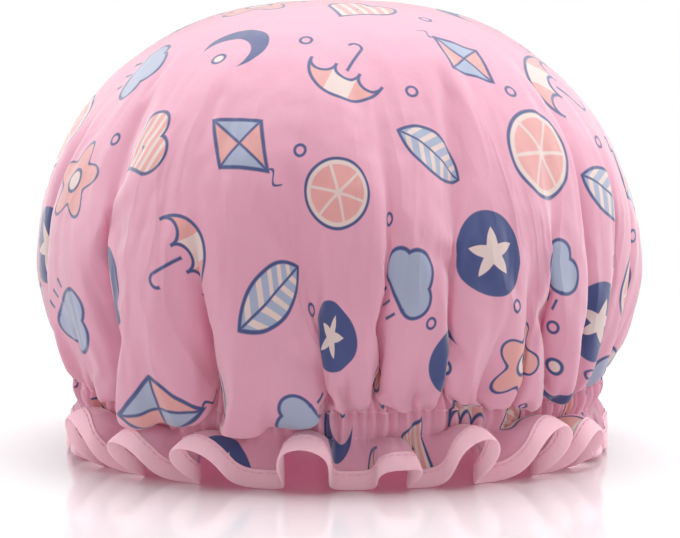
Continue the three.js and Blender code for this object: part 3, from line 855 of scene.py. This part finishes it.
def printed_polyester(colours):
    """Printed polyester: its weave breaks up the shine, and a sheen lightens what turns from the eye."""
    material, tree = new_material("Printed polyester, plain woven")
    cut = add_node(tree, "ShaderNodeUVMap", uv_map="flat_cut")
    # The threads are drawn at 0.9 mm, coarser than the real quarter of a millimetre.
    weave_scale = WAVE_PITCH / 0.0009
    warp, weft = (
        add_node(tree, "ShaderNodeTexWave", {"Vector": cut, "Scale": weave_scale}, out=1, bands_direction=way)
        for way in "XY"
    )
    threads = work_out(tree, ("MULTIPLY", warp, weft))
    crush = add_node(tree, "ShaderNodeTexNoise", {"Vector": cut, "Scale": 95.0, "Detail": 3.0})
    crushed = add_node(tree, "ShaderNodeBump", {"Strength": 0.35, "Distance": 0.0012, "Height": crush})
    # Creases run out from the crown: a noise of the direction, stretched along the distance.
    away = add_node(tree, "ShaderNodeVectorMath", [cut], out=1, operation="LENGTH")
    around = add_node(tree, "ShaderNodeVectorMath", [cut], operation="NORMALIZE")
    ahead = add_node(tree, "ShaderNodeCombineXYZ", {2: work_out(tree, ("MULTIPLY", away, 1.6))})
    spread = add_node(tree, "ShaderNodeVectorMath", [around, ahead], operation="ADD")
    feeds = {"Vector": spread, "Scale": 8.0, "Detail": 2.0, "Distortion": 0.4}
    drawn = add_node(tree, "ShaderNodeTexNoise", feeds)
    ridge = ("SUBTRACT", 1.0, ("ABSOLUTE", ("MULTIPLY_ADD", drawn, 5.0, -2.5)))
    share = ("SMOOTH_MAX", 0.0, ("MULTIPLY_ADD!", away, 9.0, -0.75), 0.1)
    creases = work_out(tree, ("MULTIPLY", ridge, share))
    feeds = {"Strength": 0.6, "Distance": 0.0022, "Height": creases, "Normal": crushed}
    creased = add_node(tree, "ShaderNodeBump", feeds)
    feeds = {"Strength": 0.12, "Distance": 0.00012, "Height": threads, "Normal": creased}
    woven = add_node(tree, "ShaderNodeBump", feeds)
    colour = printed_colour(tree, colours)
    front = add_node(tree, "ShaderNodeBsdfPrincipled", {
        "Base Color": colour,
        "Roughness": 0.62,
        "Specular IOR Level": 0.3,
        "Sheen Weight": 1.0,
        "Sheen Roughness": 0.5,
        "Normal": woven,
    })
    # Light that comes through the cloth has passed more dye, so its colour is deeper.
    dyed = add_node(tree, "ShaderNodeGamma", {"Color": colour, "Gamma": 1.8})
    through = add_node(tree, "ShaderNodeBsdfTranslucent", {"Color": dyed})
    surface = add_node(tree, "ShaderNodeMixShader", [0.36, front, through])
    add_node(tree, "ShaderNodeOutputMaterial", {"Surface": surface})
    return material


def frosted_film(colours):
    """Frosted film: smooth enough for a soft shine, with a fine grain that keeps it from being a mirror."""
    material, tree = new_material("EVA film, calendered and frosted")
    cut = add_node(tree, "ShaderNodeUVMap", uv_map="flat_cut")
    grain = add_node(tree, "ShaderNodeTexNoise", {"Vector": cut, "Scale": 700.0, "Detail": 2.0})
    frosted = add_node(tree, "ShaderNodeBump", {"Strength": 0.25, "Distance": 0.0003, "Height": grain})
    front = add_node(tree, "ShaderNodeBsdfPrincipled", {
        "Base Color": opaque(colours.film),
        "Roughness": 0.38,
        "Specular IOR Level": 0.45,
        "Normal": frosted,
    })
    through = add_node(tree, "ShaderNodeBsdfTranslucent", {"Color": opaque(colours.film)})
    surface = add_node(tree, "ShaderNodeMixShader", [0.7, front, through])
    add_node(tree, "ShaderNodeOutputMaterial", {"Surface": surface})
    return material


def binding_tape(colours):
    """Soft tape: matt, with a downy sheen along its rounded fold and fine ribs across it."""
    material, tree = new_material("Binding tape, brushed and folded")
    strip = add_node(tree, "ShaderNodeUVMap", uv_map="strip")
    # The ribs are drawn at 1.2 mm, coarser than the real half a millimetre.
    ribs = add_node(tree, "ShaderNodeTexWave", {"Vector": strip, "Scale": WAVE_PITCH / 0.0012}, out=1)
    ribbed = add_node(tree, "ShaderNodeBump", {"Strength": 0.15, "Distance": 0.00015, "Height": ribs})
    surface = add_node(tree, "ShaderNodeBsdfPrincipled", {
        "Base Color": opaque(colours.binding),
        "Roughness": 0.85,
        "Specular IOR Level": 0.2,
        "Sheen Weight": 0.5,
        "Sheen Roughness": 0.5,
        "Normal": ribbed,
    })
    add_node(tree, "ShaderNodeOutputMaterial", {"Surface": surface})
    return material


def yarn(name, colour, roughness):
    """Yarn, spun or braided: a matt body with a faint fuzz that catches light at its edges."""
    material, tree = new_material(name)
    surface = add_node(tree, "ShaderNodeBsdfPrincipled", {
        "Base Color": opaque(colour),
        "Roughness": roughness,
        "Sheen Weight": 0.25,
    })
    add_node(tree, "ShaderNodeOutputMaterial", {"Surface": surface})
    return material


# Operators

class CAP_OT_cover(bpy.types.Operator):
    """Cuts, gathers and settles the printed cover"""

    bl_idname = "cap.cover"
    bl_label = "Printed cover"

    def execute(self, context):
        size = context.scene.cap_sizes
        colours = context.scene.cap_colours
        pattern = CoverPattern(size)
        grid = pattern.grid
        mesh, index = sheet_mesh("printed_cover_cloth", pattern.rings, grid, pattern.crown)
        settled, grid = settle_cloth(pattern, grid, index, mesh)
        mesh.vertices.foreach_set("co", settled.astype(np.float32).ravel())
        SEWN.update(pattern=pattern, grid=grid)
        cloth = printed_polyester(colours)
        piece = new_piece(mesh, "cap", ["printed_cover"], cloth)
        return {"FINISHED"}


# The directions, from the crown down and round the cap, in which the room inside the cover is measured.
ROOM_ROWS, ROOM_SPOKES = 28, 48
# How far inside the cover the film lies, and under the crown.
FILM_ROOM, FILM_CROWN_ROOM = 0.0015, 0.0025
# The depth of the film's gathers over the seam, how much of it the seam flattens, and the depth below it.
FILM_GATHERS, FILM_FLATTENED, FILM_CASING_GATHERS = 0.011, 0.006, 0.005
FILM_CASING_BULGE = 0.0012


def room_inside(pattern, grid, middle, last):
    """How near the cover comes to the middle of the cap in each direction, smoothed."""
    step = np.array([column_step(along) for along in pattern.rings])[:, None]
    dome = pattern.rings[:, None] < pattern.upper_row
    used = (np.arange(pattern.columns)[None, :] % step == 0) & dome
    spots = grid[used] - middle
    reach = np.linalg.norm(spots, axis=1)
    down = np.arccos(spots[:, 2] / reach)
    turn = np.arctan2(spots[:, 0], -spots[:, 1])
    near = np.full((ROOM_ROWS, ROOM_SPOKES), np.inf)
    row = np.clip((down / last * ROOM_ROWS).astype(int), 0, ROOM_ROWS - 1)
    spoke = ((turn / (2 * math.pi) * ROOM_SPOKES) % ROOM_SPOKES).astype(int)
    np.minimum.at(near, (row, spoke), reach)
    near[~np.isfinite(near)] = near[np.isfinite(near)].max()
    near = np.minimum(near, np.minimum(np.roll(near, 1, axis=1), np.roll(near, -1, axis=1)))
    near[1:-1] = np.minimum(near[1:-1], np.minimum(near[:-2], near[2:]))
    near[0] = near[:2].min()
    for smoothing in range(2):
        near = (near + (np.roll(near, 1, axis=1) + np.roll(near, -1, axis=1)) / 2) / 2
        near[1:-1] = (near[1:-1] + (near[:-2] + near[2:]) / 2) / 2
    return near


class CAP_OT_lining(bpy.types.Operator):
    """Cuts and gathers the waterproof lining inside the cover"""

    bl_idname = "cap.lining"
    bl_label = "Waterproof lining"

    def execute(self, context):
        size = context.scene.cap_sizes
        pattern, grid = SEWN["pattern"], SEWN["grid"]
        rng = np.random.default_rng(23)
        middle = np.array([0, 0, ELASTIC_HEIGHT + size.widest_height])
        inner_row = size.elastic_radius - CLOTH_GAP
        seam_drop = size.widest_height - size.row_offset
        last = math.atan2(inner_row, -seam_drop)
        seam = inner_row / math.sin(last)
        near = room_inside(pattern, grid, middle, last)

        # The film's rings: the dome, the casing's inner side, and the ruffle's inner side.
        downs = np.concatenate([np.linspace(0, 1, 22)[1:-8] * last, np.linspace(14 / 21, 1, 15)[1:] * last])
        even = pattern.even
        at_spoke = (even / (2 * math.pi) * ROOM_SPOKES) % ROOM_SPOKES - 0.5
        low_spoke = np.floor(at_spoke).astype(int)
        part = at_spoke - low_spoke
        way, wave = irregular_waves(rng, pattern.columns, 8)
        tall = rng.uniform(0.5, 1.2, wave.max() + 1)[wave]
        ripple = tall * (0.5 - 0.5 * np.cos(2 * math.pi * way))
        rings = []
        for angle in downs:
            at_row = np.clip(angle / last * ROOM_ROWS - 0.5, 0, ROOM_ROWS - 1.001)
            low_row = int(at_row)
            level = near[low_row] + (near[low_row + 1] - near[low_row]) * (at_row - low_row)
            level = level[low_spoke % ROOM_SPOKES] * (1 - part) + level[(low_spoke + 1) % ROOM_SPOKES] * part
            close = smooth(0.86, 1, angle / last)
            level = (level - FILM_ROOM) * (1 - close) + seam * close
            level = level - ripple * (FILM_GATHERS * smooth(0.35, 0.9, angle / last) - FILM_FLATTENED * close)
            r, z = level * math.sin(angle), level * math.cos(angle) + middle[2]
            rings.append(round_the_axis(even, r, z))
        for inside in np.linspace(0, 1, 7)[1:]:
            r = inner_row - FILM_CASING_BULGE * math.sin(math.pi * inside) - FILM_CASING_GATHERS * ripple
            rings.append(round_the_axis(even, r, ELASTIC_HEIGHT + size.row_offset * (1 - 2 * inside)))
        ruffle = grid[pattern.lower_ring:]
        behind = ruffle - grid_normals(ruffle) * CLOTH_GAP
        for number in range(1, len(behind)):
            blend = smooth(0, 0.4, number / (len(behind) - 1))
            r = inner_row - FILM_CASING_GATHERS * ripple * (1 - blend)
            drop = pattern.rings[pattern.lower_ring + number] - pattern.lower_row
            start = round_the_axis(even, r, ELASTIC_HEIGHT - size.row_offset - drop)
            rings.append(start + (behind[number] - start) * blend)
        rings = np.array(rings)
        crown = np.array([0, 0, middle[2] + near[0].min() - FILM_CROWN_ROOM])
        along = np.linalg.norm(np.diff(rings, axis=0), axis=2).mean(axis=1)
        first = np.linalg.norm(rings[0] - crown, axis=1).mean()
        along = np.concatenate([[first], first + np.cumsum(along)])
        mesh = sheet_mesh("waterproof_lining_film", along, rings, crown)[0]
        SEWN.update(film_upper=rings[len(downs) - 1], film_lower=rings[len(downs) + 5])
        film = frosted_film(context.scene.cap_colours)
        piece = new_piece(mesh, "cap", ["waterproof_lining"], film)
        return {"FINISHED"}


# From the tape's upper edge to the hem's row of stitches, and how much of the tape turns below the cloth.
HEM_ROW, HEM_TURN = 0.0015, 0.0016


def hem_spot(size, below, place):
    """The hem's points so far below the tape's upper edge, and so far outside the cover."""
    pattern, grid = SEWN["pattern"], SEWN["grid"]
    ruffle = grid[pattern.lower_ring:]
    normals = grid_normals(ruffle)
    depth = pattern.rings[pattern.lower_ring:] - pattern.edge
    overlap = size.binding_width - HEM_TURN
    at = np.clip(below - overlap, depth[0], 0)
    low = int(np.clip(np.searchsorted(depth, at) - 1, 0, len(depth) - 2))
    way = (at - depth[low]) / (depth[low + 1] - depth[low])
    spot = ruffle[low] + (ruffle[low + 1] - ruffle[low]) * way
    normal = normals[low] + (normals[low + 1] - normals[low]) * way
    along = unit(ruffle[-1] - ruffle[-2])
    return spot + along * max(0.0, below - overlap) + normal * place


class CAP_OT_binding(bpy.types.Operator):
    """Folds the binding tape round the hem"""

    bl_idname = "cap.binding"
    bl_label = "Hem binding"

    def execute(self, context):
        size = context.scene.cap_sizes
        # The tape's section: how far below its upper edge, and how far outside the cover, in millimetres.
        # It is pinched where it is stitched.
        section = (
            (0.0, 0.12), (0.1, 0.24), (0.7, 0.3), (1.5, 0.2), (2.4, 0.32), (4.0, 0.36),
            (5.7, 0.34), (6.75, 0.2), (7.0, -0.1), (7.0, -0.35), (6.75, -0.6), (5.7, -0.78),
            (4.0, -0.82), (2.4, -0.78), (1.5, -0.66), (0.7, -0.76), (0.1, -0.7), (0.0, -0.58),
            (2.4, -0.56), (5.2, -0.55), (6.3, -0.4), (6.3, -0.1), (5.2, 0.1), (2.4, 0.1),
        )
        flat_width = 0.015
        rows = [hem_spot(size, below / 1000, place / 1000) for below, place in section]
        sections = np.stack(rows, axis=1)
        mesh = loop_mesh("hem_binding_tape", sections)
        length = ring_lengths(sections[None, :, 4])[0]
        run = np.linspace(0, length, len(sections) + 1)
        corners = np.array([
            (run[number + side], place + up)
            for number in range(len(sections))
            for place in range(len(section))
            for side, up in ((0, 0), (1, 0), (1, 1), (0, 1))
        ], np.float32)
        corners[:, 1] *= 2 * flat_width / len(section)
        mesh.uv_layers.new(name="strip").data.foreach_set("uv", corners.ravel())
        tape = binding_tape(context.scene.cap_colours)
        piece = new_piece(mesh, "cap", ["hem_binding"], tape)
        return {"FINISHED"}


def stitch_tree():
    """A node tree that lays stitches along a seam's line. Its inputs are the stitches' sizes and material."""
    tree = bpy.data.node_groups.new("Stitches along a seam", "GeometryNodeTree")
    sockets = (
        ("Seam", "INPUT", "Geometry"),
        ("Stitch length", "INPUT", "Float"),
        ("Thread radius", "INPUT", "Float"),
        ("Thread", "INPUT", "Material"),
        ("Stitches", "OUTPUT", "Geometry"),
    )
    for name, way, kind in sockets:
        tree.interface.new_socket(name, in_out=way, socket_type="NodeSocket" + kind)
    seam = add_node(tree, "NodeGroupInput")
    step, thick, thread = (seam.node.outputs[name] for name in ("Stitch length", "Thread radius", "Thread"))
    line = add_node(tree, "GeometryNodeMeshToCurve", {"Mesh": seam})
    spots = add_node(tree, "GeometryNodeCurveToPoints", {"Curve": line, "Length": step}, mode="LENGTH")
    # Each stitch is a bead that is drawn out along most of its step.
    bead = add_node(tree, "GeometryNodeMeshUVSphere", {"Segments": 7, "Rings": 5, "Radius": thick})
    long = work_out(tree, ("DIVIDE", ("MULTIPLY", step, 0.44), thick))
    shape = add_node(tree, "ShaderNodeCombineXYZ", [1.0, 1.0, long])
    stitch = add_node(tree, "GeometryNodeTransform", {"Geometry": bead, "Scale": shape})
    feeds = {"Points": spots, "Instance": stitch, "Rotation": spots.node.outputs["Rotation"]}
    laid = add_node(tree, "GeometryNodeInstanceOnPoints", feeds)
    real = add_node(tree, "GeometryNodeRealizeInstances", {"Geometry": laid})
    soft = add_node(tree, "GeometryNodeSetShadeSmooth", {"Geometry": real})
    dressed = add_node(tree, "GeometryNodeSetMaterial", {"Geometry": soft, "Material": thread})
    add_node(tree, "NodeGroupOutput", {"Stitches": dressed})
    return tree


def sew_seam(context, name, line, tree, thread):
    """Sews one seam's thread along a closed line of points."""
    size = context.scene.cap_sizes
    path = bpy.data.meshes.new(name + "_line")
    count = len(line)
    path.from_pydata(line.tolist(), [(i, (i + 1) % count) for i in range(count)], [])
    seam = bpy.data.objects.new(name + "_line", path)
    context.scene.collection.objects.link(seam)
    sewing = seam.modifiers.new("Stitches", "NODES")
    sewing.node_group = tree
    values = {"Stitch length": size.stitch_length, "Thread radius": size.thread_radius, "Thread": thread}
    for socket in tree.interface.items_tree:
        if socket.in_out == "INPUT" and socket.name in values:
            sewing[socket.identifier] = values[socket.name]
    context.view_layer.update()
    graph = context.evaluated_depsgraph_get()
    mesh = bpy.data.meshes.new_from_object(seam.evaluated_get(graph))
    mesh.name = name + "_stitches"
    bpy.data.objects.remove(seam)
    new_piece(mesh, "cap", [name + "_thread"], None, subdivide=False)


class CAP_OT_stitches(bpy.types.Operator):
    """Sews the casing's two rows and the hem's row, each with its needle and bobbin thread"""

    bl_idname = "cap.stitches"
    bl_label = "Stitches"

    def execute(self, context):
        size = context.scene.cap_sizes
        pattern, grid = SEWN["pattern"], SEWN["grid"]
        thread = yarn("Polyester thread, spun", context.scene.cap_colours.thread, 0.6)
        tree = stitch_tree()
        lift = pattern.outward * (size.thread_radius * 0.6)
        # The hem's threads lie on the tape's two sides, outside and inside the cover.
        rows = (
            ("casing_upper_needle", grid[pattern.upper_ring] + lift),
            ("casing_upper_bobbin", SEWN["film_upper"] - lift),
            ("casing_lower_needle", grid[pattern.lower_ring] + lift),
            ("casing_lower_bobbin", SEWN["film_lower"] - lift),
            ("hem_needle", hem_spot(size, HEM_ROW, 0.00032)),
            ("hem_bobbin", hem_spot(size, HEM_ROW, -0.00078)),
        )
        for name, line in rows:
            sew_seam(context, name, line, tree, thread)
        return {"FINISHED"}


def braid_mesh(size):
    """The flat elastic: a band with ridges along it."""
    ridges, crossings = 5, 210
    half_width, half_thick = size.elastic_width / 2, size.elastic_thickness / 2
    across = np.linspace(-1, 1, 4 * ridges + 1)
    rib = half_thick * (0.8 + 0.2 * np.cos(2 * math.pi * ridges * across / 2) * (1 - across ** 6))
    rib = rib * (1 - across ** 12 * 0.6)
    section = np.concatenate([
        np.stack([rib, across * half_width], axis=1),
        np.stack([-rib[::-1], across[::-1] * half_width], axis=1),
    ])
    turns = np.linspace(0, 2 * math.pi, 2 * crossings, endpoint=False)[:, None]
    # The braid's crossings draw the band in a little, over and over along its length.
    pulled = 1 - 0.04 * (0.5 + 0.5 * np.cos(turns * crossings))
    r = size.elastic_radius + section[None, :, 0] * pulled
    z = ELASTIC_HEIGHT + section[None, :, 1] * pulled
    return loop_mesh("elastic_braid", round_the_axis(turns, r, z))


def tack_mesh(size):
    """The tack, a close zigzag: a thread wound to and fro through the elastic's overlapped ends."""
    length, passes, sides, radius = 0.006, 11, 6, 0.0002
    half_deep, half_tall = 0.0007, 0.0018
    low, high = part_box("elastic_bar_tack")
    place = math.atan2((low.x + high.x) / 2, -(low.y + high.y) / 2)
    steps = np.linspace(0, 1, passes * 12 + 1)
    wind = 2 * math.pi * passes * steps
    angle = place + (steps - 0.5) * length / size.elastic_radius
    out = size.elastic_radius + half_deep * np.cos(wind)
    path = round_the_axis(angle, out, ELASTIC_HEIGHT + half_tall * np.sin(wind))
    ahead = unit(np.gradient(path, axis=0))
    lengthwise = np.stack([np.cos(angle), np.sin(angle), 0 * angle], axis=1)
    upright = unit(np.cross(ahead, lengthwise))
    flat = np.cross(upright, ahead)
    spokes = np.linspace(0, 2 * math.pi, sides, endpoint=False)[None, :, None]
    tube = path[:, None] + radius * (np.cos(spokes) * flat[:, None] + np.sin(spokes) * upright[:, None])
    faces = []
    for here in range(0, (len(path) - 1) * sides, sides):
        after = here + sides
        for k in range(sides):
            beside = (k + 1) % sides
            faces.append((here + k, here + beside, after + beside, after + k))
    faces.append(tuple(reversed(range(sides))))
    faces.append(tuple((len(path) - 1) * sides + k for k in range(sides)))
    return smooth_mesh("elastic_tack_thread", tube.reshape(-1, 3).tolist(), faces)


class CAP_OT_elastic(bpy.types.Operator):
    """Lays the braided elastic in its casing and tacks its ends"""

    bl_idname = "cap.elastic"
    bl_label = "Elastic"

    def execute(self, context):
        size = context.scene.cap_sizes
        colours = context.scene.cap_colours
        braid = yarn("Rubber elastic, braided", colours.elastic, 0.75)
        new_piece(braid_mesh(size), "elastic", ["elastic_band"], braid, subdivide=False)
        thread = yarn("Polyester thread, zigzag sewn", colours.thread, 0.6)
        new_piece(tack_mesh(size), "elastic", ["elastic_bar_tack"], thread, subdivide=False)
        return {"FINISHED"}


def soft_box(scene, name, place, aim, width, height, energy):
    """A soft lamp at a place, turned to a point."""
    lamp = bpy.data.lights.new(name, "AREA")
    lamp.shape = "RECTANGLE"
    lamp.size = width
    lamp.size_y = height
    lamp.energy = energy
    lamp_object = bpy.data.objects.new(name, lamp)
    lamp_object.location = place
    lamp_object.rotation_euler = (Vector(aim) - Vector(place)).to_track_quat("-Z", "Y").to_euler()
    scene.collection.objects.link(lamp_object)


class CAP_OT_studio(bpy.types.Operator):
    """Sets the floor, the lamps and the camera"""

    bl_idname = "cap.studio"
    bl_label = "Studio"

    def execute(self, context):
        scene = context.scene
        floor = bpy.data.meshes.new("floor")
        floor.from_pydata([(-4, -4, 0), (4, -4, 0), (4, 4, 0), (-4, 4, 0)], [], [(0, 1, 2, 3)])
        floor_object = bpy.data.objects.new("floor", floor)
        scene.collection.objects.link(floor_object)
        # A polished white table, which fades into the white behind it.
        polished, tree = new_material("Polished white table")
        top = add_node(tree, "ShaderNodeBsdfPrincipled", {
            "Base Color": (0.82, 0.79, 0.805, 1),
            "Roughness": 0.11,
            "Specular IOR Level": 0.9,
        })
        white = add_node(tree, "ShaderNodeEmission", {"Color": (1, 1, 1, 1), "Strength": 1.0})
        place = add_node(tree, "ShaderNodeTexCoord", out="Object")
        away = add_node(tree, "ShaderNodeVectorMath", [place], out=1, operation="LENGTH")
        seen = add_node(tree, "ShaderNodeLightPath", out="Is Camera Ray")
        fade = work_out(tree, ("MULTIPLY", seen, ("MULTIPLY_ADD!", away, 2.6, -0.42)))
        ground = add_node(tree, "ShaderNodeMixShader", [fade, top, white])
        add_node(tree, "ShaderNodeOutputMaterial", {"Surface": ground})
        floor.materials.append(polished)

        world = bpy.data.worlds.new("White studio")
        world.use_nodes = True
        tree = world.node_tree
        tree.nodes.clear()
        path = add_node(tree, "ShaderNodeLightPath", out="Is Camera Ray")
        mirrored, through = path.node.outputs["Is Glossy Ray"], path.node.outputs["Is Transmission Ray"]
        shown = work_out(tree, ("MAXIMUM", path, ("MAXIMUM", mirrored, through)))
        strength = work_out(tree, ("MULTIPLY_ADD", shown, 0.65, 0.35))
        sky = add_node(tree, "ShaderNodeBackground", {"Color": (1, 1, 1, 1), "Strength": strength})
        add_node(tree, "ShaderNodeOutputWorld", {"Surface": sky})
        scene.world = world

        aim = (0, 0, 0.08)
        soft_box(scene, "overhead", (0.05, 0.1, 0.95), aim, 0.9, 0.7, 12.2)
        soft_box(scene, "right", (0.85, 0.12, 0.35), aim, 0.5, 0.7, 3.6)
        soft_box(scene, "left", (-0.85, 0.12, 0.35), aim, 0.5, 0.7, 3.4)
        soft_box(scene, "front fill", (0.1, -1.5, 0.2), aim, 1.4, 0.4, 2.5)

        camera = bpy.data.cameras.new("camera")
        distance = 1.2
        metres_per_pixel = 0.000379
        camera.sensor_width = 36
        camera.lens = camera.sensor_width / (PHOTO_WIDTH * metres_per_pixel) * distance
        camera_object = bpy.data.objects.new("camera", camera)
        tilt = math.radians(6.3)
        look = Vector((0.001, 0, 0.0673))
        camera_object.location = look + distance * Vector((0, -math.cos(tilt), math.sin(tilt)))
        camera_object.rotation_euler = (look - camera_object.location).to_track_quat("-Z", "Y").to_euler()
        scene.collection.objects.link(camera_object)
        scene.camera = camera_object
        scene.view_settings.view_transform = "Standard"
        return {"FINISHED"}


class CAP_PT_sidebar(bpy.types.Panel):
    """Lists the cap's pieces in the sidebar"""

    bl_label = "Shower cap"
    bl_space_type = "VIEW_3D"
    bl_region_type = "UI"
    bl_category = "Shower Cap"

    def draw(self, context):
        for operator in OPERATORS:
            self.layout.operator(operator.bl_idname)


OPERATORS = (CAP_OT_cover, CAP_OT_lining, CAP_OT_binding, CAP_OT_elastic, CAP_OT_stitches, CAP_OT_studio)
CLASSES = (CapSizes, CapColours, *OPERATORS, CAP_PT_sidebar)


def register():
    for known in CLASSES:
        bpy.utils.register_class(known)
    bpy.types.Scene.cap_sizes = PointerProperty(type=CapSizes)
    bpy.types.Scene.cap_colours = PointerProperty(type=CapColours)


def unregister():
    del bpy.types.Scene.cap_colours
    del bpy.types.Scene.cap_sizes
    for known in reversed(CLASSES):
        bpy.utils.unregister_class(known)


def main():
    register()
    bpy.ops.cap.cover()
    bpy.ops.cap.lining()
    bpy.ops.cap.binding()
    bpy.ops.cap.elastic()
    bpy.ops.cap.stitches()
    bpy.ops.cap.studio()


if __name__ == "__main__":
    main()
